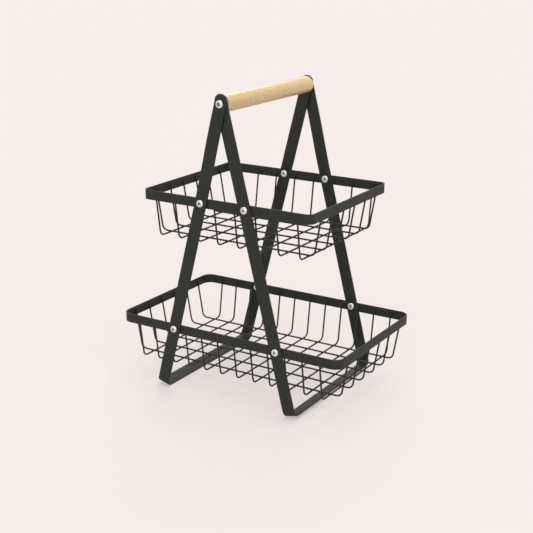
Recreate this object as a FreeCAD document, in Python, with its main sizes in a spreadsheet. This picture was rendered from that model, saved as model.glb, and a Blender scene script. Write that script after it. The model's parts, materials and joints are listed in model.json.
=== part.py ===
import FreeCAD, Part
import math
import os
from typing import NamedTuple

import Sketcher

# Two-tier wire basket on a folded-strap A-frame stand with a turned wooden grip.
# Millimetres. X runs along the baskets, Y from front to rear, Z up.
# The origin is on the table, below the grip.

# Driving sizes: name, value, what it measures.
SIZES = (
    ("lower_rim_height", 103, "top edge of the lower rim above the table"),
    ("tier_spacing", 196, "from the lower rim's top edge to the upper rim's"),
    ("basket_depth", 227, "both rims over their front and rear faces"),
    ("lower_length", 371.5, "lower rim over its ends"),
    ("upper_length", 279, "upper rim over its ends"),
    ("rim_width", 14, "height of the rim strap"),
    ("rim_thickness", 2, "thickness of the rim strap"),
    ("lower_corner_radius", 15, "outer corner radius of the lower rim"),
    ("upper_corner_radius", 11, "outer corner radius of the upper rim"),
    ("wire_diameter", 2.5, "all basket wires"),
    ("basket_drop", 55.5, "from a rim's lower edge to the underside of its wires"),
    ("front_inset", 8, "how far the front and rear wire walls lean in"),
    ("end_inset", 9, "how far the end wire walls lean in"),
    ("wire_bend_radius", 9, "centre line of the bend between wall and floor"),
    ("wire_kink_radius", 12, "centre line of the slight bend below the rim"),
    ("weld_run", 10, "length of wire that lies on the rim's inner face"),
    ("weld_gap", 0.02, "between a wire and what it is welded to"),
    ("lower_end_gap", 16.4, "from the lower rim's corner to its first cross wire"),
    ("upper_end_gap", 11.8, "from the upper rim's corner to its first cross wire"),
    ("lower_side_gap", 16.6, "from the lower rim's corner to its first long wire"),
    ("upper_side_gap", 20.6, "from the upper rim's corner to its first long wire"),
    ("lower_cross_count", 12, "cross wires of the lower basket"),
    ("lower_long_count", 6, "long wires of the lower basket"),
    ("upper_cross_count", 8, "cross wires of the upper basket"),
    ("upper_long_count", 6, "long wires of the upper basket"),
    ("lower_screw_gap_count", 3, "whole wire gaps from the middle to the one the lower screw goes through"),
    ("upper_screw_gap_count", 1, "whole wire gaps from the middle to the one the upper screw goes through"),
    ("screw_gap_share", 0.09, "where in its wire gap a rim screw lies, from the gap's middle outwards"),
    ("leg_width", 19, "width of the leg strap"),
    ("leg_thickness", 2.5, "thickness of the leg strap"),
    ("leg_bend_radius", 8, "inner radius where a leg turns into its floor bar"),
    ("leg_end_reach", 13.5, "from the grip's axis to the rounded end of a leg"),
    ("crossing_margin", 3, "how far a leg stays flat past the place where the two legs cross"),
    ("joggle_margin", 12, "from the upper rim to the foot of the outer leg's joggle"),
    ("barrel_diameter", 7, "barrel of a rim nut, through leg and rim"),
    ("nut_head_diameter", 11, "domed head of a rim nut"),
    ("nut_head_height", 2.4, "domed head of a rim nut"),
    ("nut_head_round", 1.8, "rounding of a rim nut's head"),
    ("nut_socket_depth", 1.2, "hexagon socket of a rim nut"),
    ("rim_screw_diameter", 5, "shank of a rim screw"),
    ("rim_head_diameter", 11, "button head of a rim screw"),
    ("rim_head_height", 3, "button head of a rim screw"),
    ("rim_head_round", 2.4, "rounding of a rim screw's head"),
    ("rim_socket_width", 4, "hexagon socket of rim screws and nuts, across flats"),
    ("rim_socket_depth", 1.6, "hexagon socket of a rim screw"),
    ("grip_diameter", 25, "wooden dowel"),
    ("grip_edge_round", 1, "rounded edge of the dowel's ends"),
    ("grip_end_gap", 0.3, "between the dowel or a screw head and the leg beside it"),
    ("insert_diameter", 10, "threaded insert in the dowel's end"),
    ("insert_length", 15, "threaded insert in the dowel's end"),
    ("grip_screw_diameter", 6, "shank of a grip screw"),
    ("grip_head_diameter", 11.4, "button head of a grip screw"),
    ("grip_head_height", 3, "button head of a grip screw"),
    ("grip_head_round", 2.3, "rounding of a grip screw's head"),
    ("grip_socket_width", 5, "hexagon socket of a grip screw, across flats"),
    ("grip_socket_depth", 2, "hexagon socket of a grip screw"),
    ("running_clearance", 0.05, "radial clearance of shanks, barrels and inserts"),
    ("end_clearance", 0.3, "past the tip of a shank or barrel"),
)

# Sizes worked out from the driving ones: name, formula.
WORKED = (
    ("half_depth", "Sizes.basket_depth / 2"),
    ("leg_face", "half_depth + Sizes.leg_thickness"),
    ("outer_leg_face", "leg_face + Sizes.leg_thickness"),
    ("rim_inner_face", "half_depth - Sizes.rim_thickness"),
    ("wire_radius", "Sizes.wire_diameter / 2"),
    ("wire_stand_off", "Sizes.rim_thickness + wire_radius + Sizes.weld_gap"),
    ("cross_reach", "half_depth - wire_stand_off"),
    ("lower_long_reach", "Sizes.lower_length / 2 - wire_stand_off"),
    ("upper_long_reach", "Sizes.upper_length / 2 - wire_stand_off"),
    ("cross_floor", "wire_radius - Sizes.basket_drop"),
    ("long_floor", "cross_floor + Sizes.wire_diameter + Sizes.weld_gap"),
    ("lower_rim_base", "Sizes.lower_rim_height - Sizes.rim_width"),
    ("upper_rim_base", "lower_rim_base + Sizes.tier_spacing"),
    ("lower_cross_end", "Sizes.lower_length / 2 - Sizes.lower_corner_radius - Sizes.lower_end_gap"),
    ("upper_cross_end", "Sizes.upper_length / 2 - Sizes.upper_corner_radius - Sizes.upper_end_gap"),
    ("lower_long_end", "half_depth - Sizes.lower_corner_radius - Sizes.lower_side_gap"),
    ("upper_long_end", "half_depth - Sizes.upper_corner_radius - Sizes.upper_side_gap"),
    ("lower_cross_pitch", "2 * lower_cross_end / (Sizes.lower_cross_count - 1)"),
    ("upper_cross_pitch", "2 * upper_cross_end / (Sizes.upper_cross_count - 1)"),
    ("lower_long_pitch", "2 * lower_long_end / (Sizes.lower_long_count - 1)"),
    ("upper_long_pitch", "2 * upper_long_end / (Sizes.upper_long_count - 1)"),
    ("lower_middle_share", "(Sizes.lower_cross_count % 2) / 2"),
    ("upper_middle_share", "(Sizes.upper_cross_count % 2) / 2"),
    ("lower_screw_pitches", "Sizes.lower_screw_gap_count + lower_middle_share + Sizes.screw_gap_share"),
    ("upper_screw_pitches", "Sizes.upper_screw_gap_count + upper_middle_share + Sizes.screw_gap_share"),
    ("lower_screw_x", "lower_screw_pitches * lower_cross_pitch"),
    ("upper_screw_x", "upper_screw_pitches * upper_cross_pitch"),
    ("lower_screw_z", "lower_rim_base + Sizes.rim_width / 2"),
    ("upper_screw_z", "upper_rim_base + Sizes.rim_width / 2"),
    ("leg_slope", "(lower_screw_x - upper_screw_x) / Sizes.tier_spacing"),
    ("leg_lean", "atan(leg_slope)"),
    ("grip_height", "lower_screw_z + lower_screw_x / leg_slope"),
    ("leg_length", "(grip_height - Sizes.leg_width / 2 * sin(leg_lean)) / cos(leg_lean)"),
    ("lower_hole_drop", "(grip_height - lower_screw_z) / cos(leg_lean)"),
    ("upper_hole_drop", "(grip_height - upper_screw_z) / cos(leg_lean)"),
    ("joggle_start", "Sizes.leg_width / 2 / leg_slope + Sizes.crossing_margin"),
    ("joggle_end", "(grip_height - upper_rim_base - Sizes.rim_width) / cos(leg_lean) - Sizes.joggle_margin"),
    ("barrel_radius", "Sizes.barrel_diameter / 2"),
    ("barrel_hole_radius", "barrel_radius + Sizes.running_clearance"),
    ("rim_shank_radius", "Sizes.rim_screw_diameter / 2"),
    ("barrel_bore_radius", "rim_shank_radius + Sizes.running_clearance"),
    ("grip_radius", "Sizes.grip_diameter / 2"),
    ("grip_half_length", "half_depth - Sizes.grip_end_gap"),
    ("grip_shank_radius", "Sizes.grip_screw_diameter / 2"),
    ("grip_hole_radius", "grip_shank_radius + Sizes.running_clearance"),
    ("insert_radius", "Sizes.insert_diameter / 2"),
    ("insert_hole_radius", "insert_radius + Sizes.running_clearance"),
    ("insert_root", "grip_half_length - Sizes.insert_length"),
    ("grip_head_seat", "outer_leg_face + Sizes.grip_end_gap"),
)

SHEET_COLUMN = "A"
NOTE_COLUMN = "B"

doc = FreeCAD.newDocument("TieredBasket")
sub_parts = []


class Corner(NamedTuple):
    """One corner of an outline: two coordinates and a rounding, all as formulas."""

    across: str
    up: str
    radius: str = ""


def fill_sheet(name, rows):
    """Makes a sheet with one named cell in each row."""
    sheet = doc.addObject("Spreadsheet::Sheet", name)
    for row, (alias, content, *note) in enumerate(rows, start=1):
        cell = f"{SHEET_COLUMN}{row}"
        sheet.set(cell, str(content))
        sheet.setAlias(cell, alias)
        if note:
            sheet.set(f"{NOTE_COLUMN}{row}", note[0])
    doc.recompute()
    return sheet


fill_sheet("Sizes", SIZES)
worked = fill_sheet("Worked", [(alias, f"={formula}") for alias, formula in WORKED])


def number(formula):
    """The present value of a formula."""
    result = worked.evalExpression(formula)
    return float(getattr(result, "Value", result))


def place(across="0", deep="0", up="0", yaw="0", pitch="0"):
    """A placement formula: turned by pitch about Y, then by yaw about Z, then moved."""
    return f"placement(vector({across}; {deep}; {up}); rotation({yaw}; {pitch}; 0))"


def new_body(label, placement):
    """Starts one sub-part at its place; a group of equal fasteners is several solids."""
    body = doc.addObject("PartDesign::Body", "Body")
    body.Label = label
    body.AllowCompound = True
    body.setExpression("Placement", placement)
    sub_parts.append(body)
    return body


def origin_plane(body, role):
    """One of the body's own base planes."""
    return next(feature for feature in body.Origin.OriginFeatures if feature.Role == role)


def new_sketch(body, role, offset=""):
    """Starts a sketch on one of the body's base planes, moved by an offset in its own axes."""
    sketch = body.newObject("Sketcher::SketchObject", "Sketch")
    sketch.AttachmentSupport = [(origin_plane(body, role), "")]
    sketch.MapMode = "FlatFace"
    if offset:
        sketch.setExpression("AttachmentOffset", offset)
    return sketch


def bind(sketch, constraint, formula):
    """Adds a dimension and ties it to its formula."""
    index = sketch.addConstraint(constraint)
    sketch.setExpression(f"Constraints[{index}]", formula)


def pin_point(sketch, geometry, position, across, up):
    """Ties a point of a sketch to its two coordinates."""
    bind(sketch, Sketcher.Constraint("DistanceX", -1, 1, geometry, position, number(across)), across)
    bind(sketch, Sketcher.Constraint("DistanceY", -1, 1, geometry, position, number(up)), up)


def draw_circle(sketch, across, up, radius):
    """Draws a circle by its centre and radius."""
    centre = FreeCAD.Vector(number(across), number(up), 0)
    circle = sketch.addGeometry(Part.Circle(centre, FreeCAD.Vector(0, 0, 1), number(radius)))
    pin_point(sketch, circle, 3, across, up)
    bind(sketch, Sketcher.Constraint("Radius", circle, number(radius)), radius)


def draw_outline(sketch, corners, closed=True):
    """Draws straight runs from corner to corner, with an arc at each rounded one.

    The runs and arcs are joined end to end, and each corner is tied to its own formulas.
    """
    points = [FreeCAD.Vector(number(corner.across), number(corner.up), 0) for corner in corners]
    count = len(corners)
    arrive, leave = list(points), list(points)
    arcs = {}
    for index, corner in enumerate(corners):
        if not corner.radius:
            continue
        radius = number(corner.radius)
        before = (points[index] - points[index - 1]).normalize()
        after = (points[(index + 1) % count] - points[index]).normalize()
        half_turn = before.getAngle(after) / 2
        arrive[index] = points[index] - before * radius * math.tan(half_turn)
        leave[index] = points[index] + after * radius * math.tan(half_turn)
        inward = (after - before).normalize()
        middle = points[index] + inward * radius * (1 / math.cos(half_turn) - 1)
        arc = sketch.addGeometry(Part.Arc(arrive[index], middle, leave[index]))
        turns_left = before.cross(after).z > 0
        arcs[index] = (arc, 1, 2) if turns_left else (arc, 2, 1)
    runs = []
    for index in range(count if closed else count - 1):
        following = (index + 1) % count
        runs.append(sketch.addGeometry(Part.LineSegment(leave[index], arrive[following])))
    for index, corner in enumerate(corners):
        into = runs[index - 1] if closed or index > 0 else None
        out_of = runs[index] if index < len(runs) else None
        if index in arcs:
            arc, first, last = arcs[index]
            sketch.addConstraint(Sketcher.Constraint("Tangent", into, 2, arc, first))
            sketch.addConstraint(Sketcher.Constraint("Tangent", arc, last, out_of, 1))
            tip = sketch.addGeometry(Part.Point(points[index]), True)
            sketch.addConstraint(Sketcher.Constraint("PointOnObject", tip, 1, into))
            sketch.addConstraint(Sketcher.Constraint("PointOnObject", tip, 1, out_of))
            pin_point(sketch, tip, 1, corner.across, corner.up)
            bind(sketch, Sketcher.Constraint("Radius", arc, number(corner.radius)), corner.radius)
            continue
        if into is not None and out_of is not None:
            sketch.addConstraint(Sketcher.Constraint("Coincident", into, 2, out_of, 1))
        if out_of is not None:
            pin_point(sketch, out_of, 1, corner.across, corner.up)
        else:
            pin_point(sketch, into, 2, corner.across, corner.up)


def pad(body, sketch, length, both_ways=False):
    """Raises a sketch to a solid."""
    feature = body.newObject("PartDesign::Pad", "Pad")
    feature.Profile = sketch
    feature.SideType = "Symmetric" if both_ways else "One side"
    feature.setExpression("Length", length)
    doc.recompute()


def revolve(body, sketch):
    """Turns a half section about the sketch's own upright axis."""
    feature = body.newObject("PartDesign::Revolution", "Revolution")
    feature.Profile = sketch
    feature.ReferenceAxis = (sketch, ["V_Axis"])
    doc.recompute()


def pocket(body, sketch, depth="", backwards=False):
    """Cuts a sketch out of the body, to a depth or right through both ways, and makes sure that it cut."""
    before = body.Shape.Volume
    feature = body.newObject("PartDesign::Pocket", "Pocket")
    feature.Profile = sketch
    if depth:
        feature.Type = "Length"
        feature.Reversed = backwards
        feature.setExpression("Length", depth)
    else:
        feature.Type = "ThroughAll"
        feature.SideType = "Symmetric"
    doc.recompute()
    if not body.Shape.Volume < before:
        raise RuntimeError(f"a cut in {body.Label} removed nothing")


def mirror(body, *roles):
    """Repeats everything made so far across the body's base planes."""
    for role in roles:
        feature = body.newObject("PartDesign::Mirrored", "Mirrored")
        feature.TransformMode = "Whole shape"
        feature.MirrorPlane = (origin_plane(body, role), [""])
        body.Tip = feature
        doc.recompute()


def draw_hexagon(sketch, width):
    """Draws a hexagon about the sketch's origin by its width across flats."""
    point = f"{width} / sqrt(3)"
    side = f"{width} / sqrt(3) / 2"
    flat = f"{width} / 2"
    draw_outline(sketch, (
        Corner(point, "0"),
        Corner(side, flat),
        Corner(f"-{side}", flat),
        Corner(f"-{point}", "0"),
        Corner(f"-{side}", f"-{flat}"),
        Corner(side, f"-{flat}"),
    ))


def leg_frame(label, yaw):
    """One strap bent to a U: front leg, floor bar and rear leg, leaning as one about the grip's axis.

    The front leg is the outer one where the two frames cross: it steps out by one thickness above the
    upper rim. The other frame is the same piece turned half round.
    """
    body = new_body(label, place(up="Worked.grip_height", yaw=yaw, pitch="Worked.leg_lean"))
    profile = new_sketch(body, "YZ_Plane")
    shoulder = "Sizes.leg_end_reach - Sizes.leg_width / 2"
    inner_bend = "Sizes.leg_bend_radius"
    outer_bend = "Sizes.leg_bend_radius + Sizes.leg_thickness"
    bar_top = "Sizes.leg_thickness - Worked.leg_length"
    draw_outline(profile, (
        Corner("-Worked.outer_leg_face", shoulder),
        Corner("-Worked.outer_leg_face", "-Worked.joggle_start"),
        Corner("-Worked.leg_face", "-Worked.joggle_end"),
        Corner("-Worked.leg_face", "-Worked.leg_length", outer_bend),
        Corner("Worked.leg_face", "-Worked.leg_length", outer_bend),
        Corner("Worked.leg_face", shoulder),
        Corner("Worked.half_depth", shoulder),
        Corner("Worked.half_depth", bar_top, inner_bend),
        Corner("-Worked.half_depth", bar_top, inner_bend),
        Corner("-Worked.half_depth", "-Worked.joggle_end"),
        Corner("-Worked.leg_face", "-Worked.joggle_start"),
        Corner("-Worked.leg_face", shoulder),
    ))
    pad(body, profile, "Sizes.leg_width", both_ways=True)
    round_leg_ends(body, shoulder)
    holes = new_sketch(body, "XZ_Plane")
    draw_circle(holes, "0", "0", "Worked.grip_hole_radius")
    draw_circle(holes, "0", "-Worked.upper_hole_drop", "Worked.barrel_hole_radius")
    draw_circle(holes, "0", "-Worked.lower_hole_drop", "Worked.barrel_hole_radius")
    pocket(body, holes)


def round_leg_ends(body, shoulder):
    """Adds the half-round end of each leg: a disc as wide and as thick as the strap."""
    for seat in ("Worked.leg_face", "-Worked.leg_face"):
        disc = new_sketch(body, "XZ_Plane", place(up=seat))
        draw_circle(disc, "0", shoulder, "Sizes.leg_width / 2")
        pad(body, disc, "Sizes.leg_thickness")


def rim(tier):
    """One strap bent to a closed ring, with a screw hole where each leg crosses it."""
    body = new_body(f"{tier}_rim", place(up=f"Worked.{tier}_rim_base"))
    ring = new_sketch(body, "XY_Plane")
    for inset in ("0", "Sizes.rim_thickness"):
        end = f"(Sizes.{tier}_length / 2 - {inset})"
        face = f"(Worked.half_depth - {inset})"
        radius = f"Sizes.{tier}_corner_radius - {inset}"
        draw_outline(ring, (
            Corner(end, f"-{face}", radius),
            Corner(end, face, radius),
            Corner(f"-{end}", face, radius),
            Corner(f"-{end}", f"-{face}", radius),
        ))
    pad(body, ring, "Sizes.rim_width")
    holes = new_sketch(body, "XZ_Plane")
    for side in ("", "-"):
        draw_circle(holes, f"{side}Worked.{tier}_screw_x", "Sizes.rim_width / 2", "Worked.barrel_hole_radius")
    pocket(body, holes)


def basket_wire(label, placement, reach, inset, floor):
    """One wire bent to a U: down the rim's inner face, along the wall, across the floor and up again.

    The wire is drawn with the rim's lower edge at zero height, running along Y.
    """
    body = new_body(label, placement)
    top = "Sizes.weld_run"
    path = new_sketch(body, "YZ_Plane")
    kink, bend = "Sizes.wire_kink_radius", "Sizes.wire_bend_radius"
    draw_outline(path, (
        Corner(f"-{reach}", top),
        Corner(f"-{reach}", "0", kink),
        Corner(f"{inset} - {reach}", floor, bend),
        Corner(f"{reach} - {inset}", floor, bend),
        Corner(reach, "0", kink),
        Corner(reach, top),
    ), closed=False)
    section = new_sketch(body, "XY_Plane", place(up=top))
    draw_circle(section, "0", f"-{reach}", "Worked.wire_radius")
    feature = body.newObject("PartDesign::AdditivePipe", "Wire")
    feature.Profile = section
    feature.Spine = path


def basket_wires(tier):
    """All wires of one basket: cross wires from front to rear, with long wires on top from end to end."""
    for index in range(round(number(f"Sizes.{tier}_cross_count"))):
        across = f"{index} * Worked.{tier}_cross_pitch - Worked.{tier}_cross_end"
        basket_wire(f"{tier}_cross_wire_{index + 1}", place(across=across, up=f"Worked.{tier}_rim_base"),
                    "Worked.cross_reach", "Sizes.front_inset", "Worked.cross_floor")
    for index in range(round(number(f"Sizes.{tier}_long_count"))):
        deep = f"{index} * Worked.{tier}_long_pitch - Worked.{tier}_long_end"
        basket_wire(f"{tier}_long_wire_{index + 1}", place(deep=deep, up=f"Worked.{tier}_rim_base", yaw="90"),
                    f"Worked.{tier}_long_reach", "Sizes.end_inset", "Worked.long_floor")


def button_screw(body, across, seat, kind, shank, tip):
    """A button-head screw on the front side: its head seats on seat, its shank reaches in to tip."""
    head = f"-({seat} + Sizes.{kind}_head_height)"
    section = new_sketch(body, "XY_Plane", place(across=across))
    draw_outline(section, (
        Corner("0", head),
        Corner(f"Sizes.{kind}_head_diameter / 2", head, f"Sizes.{kind}_head_round"),
        Corner(f"Sizes.{kind}_head_diameter / 2", f"-({seat})"),
        Corner(shank, f"-({seat})"),
        Corner(shank, f"-({tip})"),
        Corner("0", f"-({tip})"),
    ))
    revolve(body, section)
    socket = new_sketch(body, "XZ_Plane", place(across=across, up=f"{seat} + Sizes.{kind}_head_height"))
    draw_hexagon(socket, f"Sizes.{kind}_socket_width")
    pocket(body, socket, f"Sizes.{kind}_socket_depth")


def rim_fasteners(tier):
    """Four screws outside the legs and four barrel nuts inside the rim, one pair at each crossing."""
    across = f"Worked.{tier}_screw_x"
    screws = new_body(f"{tier}_rim_screws", place(up=f"Worked.{tier}_screw_z"))
    button_screw(screws, across, "Worked.leg_face", "rim", "Worked.rim_shank_radius",
                 "Worked.rim_inner_face + Sizes.end_clearance")
    mirror(screws, "YZ_Plane", "XZ_Plane")
    nuts = new_body(f"{tier}_rim_nuts", place(up=f"Worked.{tier}_screw_z"))
    crown = "(Worked.rim_inner_face - Sizes.nut_head_height)"
    seat = "-Worked.rim_inner_face"
    mouth = "-(Worked.leg_face - Sizes.end_clearance)"
    section = new_sketch(nuts, "XY_Plane", place(across=across))
    draw_outline(section, (
        Corner("0", seat),
        Corner("Worked.barrel_bore_radius", seat),
        Corner("Worked.barrel_bore_radius", mouth),
        Corner("Worked.barrel_radius", mouth),
        Corner("Worked.barrel_radius", seat),
        Corner("Sizes.nut_head_diameter / 2", seat),
        Corner("Sizes.nut_head_diameter / 2", f"-{crown}", "Sizes.nut_head_round"),
        Corner("0", f"-{crown}"),
    ))
    revolve(nuts, section)
    socket = new_sketch(nuts, "XZ_Plane", place(across=across, up=crown))
    draw_hexagon(socket, "Sizes.rim_socket_width")
    pocket(nuts, socket, "Sizes.nut_socket_depth", backwards=True)
    mirror(nuts, "YZ_Plane", "XZ_Plane")


def wooden_grip():
    """The dowel between the legs, bored at both ends for the inserts."""
    body = new_body("wooden_grip", place(up="Worked.grip_height"))
    section = new_sketch(body, "XY_Plane")
    end, root = "Worked.grip_half_length", "Worked.insert_root"
    bore = "Worked.insert_hole_radius"
    draw_outline(section, (
        Corner("0", f"-{root}"),
        Corner(bore, f"-{root}"),
        Corner(bore, f"-{end}"),
        Corner("Worked.grip_radius", f"-{end}", "Sizes.grip_edge_round"),
        Corner("Worked.grip_radius", end, "Sizes.grip_edge_round"),
        Corner(bore, end),
        Corner(bore, root),
        Corner("0", root),
    ))
    revolve(body, section)


def grip_fasteners():
    """A threaded insert in each end of the dowel, and the screws through the legs that the dowel turns on."""
    inserts = new_body("grip_inserts", place(up="Worked.grip_height"))
    section = new_sketch(inserts, "XY_Plane")
    draw_outline(section, (
        Corner("Worked.grip_hole_radius", "-Worked.grip_half_length"),
        Corner("Worked.insert_radius", "-Worked.grip_half_length"),
        Corner("Worked.insert_radius", "-Worked.insert_root"),
        Corner("Worked.grip_hole_radius", "-Worked.insert_root"),
    ))
    revolve(inserts, section)
    mirror(inserts, "XZ_Plane")
    screws = new_body("grip_screws", place(up="Worked.grip_height"))
    button_screw(screws, "0", "Worked.grip_head_seat", "grip", "Worked.grip_shank_radius",
                 "Worked.insert_root + Sizes.end_clearance")
    mirror(screws, "XZ_Plane")


def check_document():
    """Stops if any object failed, or a sub-part has no sound shape."""
    doc.recompute()
    failed = [item.Label for item in doc.Objects if {"Invalid", "Error"} & set(item.State)]
    failed += [body.Label for body in sub_parts if body.Shape.isNull() or not body.Shape.isValid()]
    failed += [body.Label for body in sub_parts if not body.Shape.Solids]
    if failed:
        raise RuntimeError(f"these failed: {', '.join(failed)}")


leg_frame("left_leg_frame", "0")
leg_frame("right_leg_frame", "180")
for tier_name in ("lower", "upper"):
    rim(tier_name)
    basket_wires(tier_name)
    rim_fasteners(tier_name)
wooden_grip()
grip_fasteners()
check_document()
os.makedirs("parts", exist_ok=True)
for sub_part in sub_parts:
    sub_part.Shape.exportStep(os.path.join("parts", f"{sub_part.Label}.step"))
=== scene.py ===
"""Looks of the two-tier wire basket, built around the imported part.

Each piece stands where the part's own solid stands. Places come from the frame, and the few stock sizes that
a node's box can't tell are fields of the classes below. Everything is in metres, with +Z up.
"""

import json
import logging
import math
from contextlib import contextmanager
from dataclasses import dataclass
from enum import Enum
from typing import Any, Callable, Iterator, Sequence

import bmesh
import bpy
from mathutils import Matrix, Vector

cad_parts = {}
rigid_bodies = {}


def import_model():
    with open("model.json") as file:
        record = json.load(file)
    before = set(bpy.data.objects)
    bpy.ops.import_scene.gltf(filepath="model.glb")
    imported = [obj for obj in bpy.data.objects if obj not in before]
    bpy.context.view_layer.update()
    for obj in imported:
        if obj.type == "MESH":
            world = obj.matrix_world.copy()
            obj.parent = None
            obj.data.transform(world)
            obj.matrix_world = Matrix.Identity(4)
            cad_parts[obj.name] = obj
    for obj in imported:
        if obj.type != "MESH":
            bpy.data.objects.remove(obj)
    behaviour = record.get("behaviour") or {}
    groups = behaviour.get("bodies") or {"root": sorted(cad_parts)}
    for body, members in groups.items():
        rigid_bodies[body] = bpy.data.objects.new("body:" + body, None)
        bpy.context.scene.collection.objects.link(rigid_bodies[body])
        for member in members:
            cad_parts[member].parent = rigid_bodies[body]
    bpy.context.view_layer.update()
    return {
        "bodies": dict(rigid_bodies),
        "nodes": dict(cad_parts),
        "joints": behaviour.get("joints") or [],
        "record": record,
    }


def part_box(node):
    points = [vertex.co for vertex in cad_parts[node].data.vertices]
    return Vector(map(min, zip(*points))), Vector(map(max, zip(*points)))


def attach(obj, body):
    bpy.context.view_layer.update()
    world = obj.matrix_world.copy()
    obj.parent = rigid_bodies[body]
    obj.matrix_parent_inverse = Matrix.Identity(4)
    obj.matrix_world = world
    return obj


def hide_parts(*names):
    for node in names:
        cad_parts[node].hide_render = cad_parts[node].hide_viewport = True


Piece = bpy.types.Object
Material = bpy.types.Material
Node = bpy.types.Node
Socket = bpy.types.NodeSocket
Colour = tuple[float, float, float]
Place = tuple[float, float, float]

LOG = logging.getLogger("tiered_basket")
MERGE_DISTANCE = 1e-6
NEAR = 1e-5
# The least share of a face's normal along an axis at which the face counts as square to that axis.
SQUARE_ON = 0.99
QUARTER = math.pi / 2
ORIGIN: Place = (0.0, 0.0, 0.0)
ALONG_Y: Place = (QUARTER, 0.0, 0.0)
SMOOTH_ANGLE = math.radians(32)
SHARP_ANGLE = math.radians(40)
EDGE_SEGMENTS = 3
HOLE_POINTS = 32
# Nearly all values of a noise texture lie between these two.
NOISE_LOW = 0.3
NOISE_HIGH = 0.7
# The sockets of a node that mixes two colours.
MIX_INPUTS = (0, 6, 7)
MIX_OUTPUT = 2


class Body(Enum):
    """The two bodies of the part."""

    FRAME = "frame"
    GRIP = "grip"


class Tier(Enum):
    """The two baskets."""

    LOWER = "lower"
    UPPER = "upper"


# How far the outer corners of each basket's rim are rounded.
CORNER_RADII = {Tier.LOWER: 0.015, Tier.UPPER: 0.011}


class Run(Enum):
    """The two directions in which a basket's wires run."""

    CROSS = "cross"
    LONG = "long"


class Picked(Enum):
    """What a selection in edit mode is made of."""

    EDGES = (False, True, False)
    FACES = (False, False, True)


@contextmanager
def modelling(piece: Piece) -> Iterator[None]:
    """Opens a piece in edit mode and closes it again.

    Args:
        piece: the mesh object to shape.

    Returns:
        A context in which mesh operators act on the piece.
    """
    bpy.context.view_layer.objects.active = piece
    bpy.ops.object.mode_set(mode="EDIT")
    bpy.context.tool_settings.mesh_select_mode = Picked.FACES.value
    yield
    bpy.ops.object.mode_set(mode="OBJECT")


def clear_selection() -> None:
    """Leaves nothing selected, so that the next operator acts on its own piece alone."""
    bpy.ops.object.select_all(action="DESELECT")


def select_only(*pieces: Piece) -> None:
    """Selects some pieces and nothing else.

    Args:
        pieces: the objects to select, of which the first becomes the active one.
    """
    clear_selection()
    for piece in pieces:
        piece.select_set(True)
    bpy.context.view_layer.objects.active = pieces[0]


def corners(node: str) -> tuple[Vector, Vector]:
    """Gives the lowest and the highest corner of a node of the part."""
    low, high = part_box(node)
    return Vector(low), Vector(high)


def turned(angle: float, axis: str) -> Matrix:
    """Gives a turn about one axis."""
    return Matrix.Rotation(angle, 4, axis)


def settled(name: str) -> Piece:
    """Names the primitive that was just added and puts its place into its mesh.

    Args:
        name: the piece's name.

    Returns:
        The new object, at the origin, unturned and unscaled.
    """
    piece = bpy.context.active_object
    piece.name = name
    piece.data.name = name
    bpy.ops.object.transform_apply(location=True, rotation=True, scale=True)
    return piece


def add_cylinder(name: str, points: int, radius: float, depth: float, place: Sequence[float] = ORIGIN,
                 turn: Place = ORIGIN) -> Piece:
    """Adds a closed cylinder to shape further or to cut with.

    Args:
        name: the piece's name.
        points: how many points its rims have.
        radius: its radius.
        depth: its length.
        place: its middle.
        turn: how it is turned from standing along Z.

    Returns:
        The cylinder.
    """
    clear_selection()
    bpy.ops.mesh.primitive_cylinder_add(vertices=points, radius=radius, depth=depth, rotation=turn,
                                        location=place)
    return settled(name)


def pick(piece: Piece, kind: Picked, wanted: Callable[[Any], bool]) -> None:
    """Selects the edges or the faces of an open piece that pass a test.

    Args:
        piece: the object in edit mode.
        kind: whether edges or faces are picked.
        wanted: the test of one of them.
    """
    bpy.context.tool_settings.mesh_select_mode = kind.value
    bpy.ops.mesh.select_all(action="DESELECT")
    mesh = bmesh.from_edit_mesh(piece.data)
    for item in mesh.edges if kind is Picked.EDGES else mesh.faces:
        item.select_set(wanted(item))
    bmesh.update_edit_mesh(piece.data)


def round_edges(piece: Piece, wanted: Callable[[Vector, Vector], bool], radius: float,
                segments: int) -> None:
    """Rounds the edges of an open piece whose two end points pass a test."""
    pick(piece, Picked.EDGES, lambda edge: wanted(edge.verts[0].co, edge.verts[1].co))
    bpy.ops.mesh.bevel(offset=radius, segments=segments, affect="EDGES", clamp_overlap=False)


def pick_all() -> None:
    """Selects the whole of the open piece."""
    bpy.ops.mesh.select_all(action="SELECT")


def extrude(deep: float = 0.0, up: float = 0.0) -> None:
    """Draws the selected face out by a move along Y and Z."""
    bpy.ops.mesh.extrude_region_move(TRANSFORM_OT_translate={"value": (0.0, deep, up)})


def bend(angle: float, deep: float, up: float, steps: int) -> None:
    """Draws the selected face round a centre in Y and Z, right-handed about X."""
    bpy.ops.mesh.spin(steps=steps, angle=-angle, center=(0.0, deep, up), axis=(1.0, 0.0, 0.0))


def close_up(piece: Piece) -> None:
    """Merges a piece's double points and turns its faces outwards.

    Args:
        piece: the mesh object to close.
    """
    with modelling(piece):
        pick_all()
        bpy.ops.mesh.remove_doubles(threshold=MERGE_DISTANCE)
        bpy.ops.mesh.normals_make_consistent(inside=False)


def apply_modifier(piece: Piece, kind: str, **settings: Any) -> None:
    """Adds a modifier with its settings and makes it part of the mesh.

    Args:
        piece: the object to change.
        kind: the modifier's type.
        settings: its properties by name.
    """
    modifier = piece.modifiers.new(kind.title(), kind)
    for name, value in settings.items():
        setattr(modifier, name, value)
    bpy.context.view_layer.objects.active = piece
    bpy.ops.object.modifier_apply(modifier=modifier.name)


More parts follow.
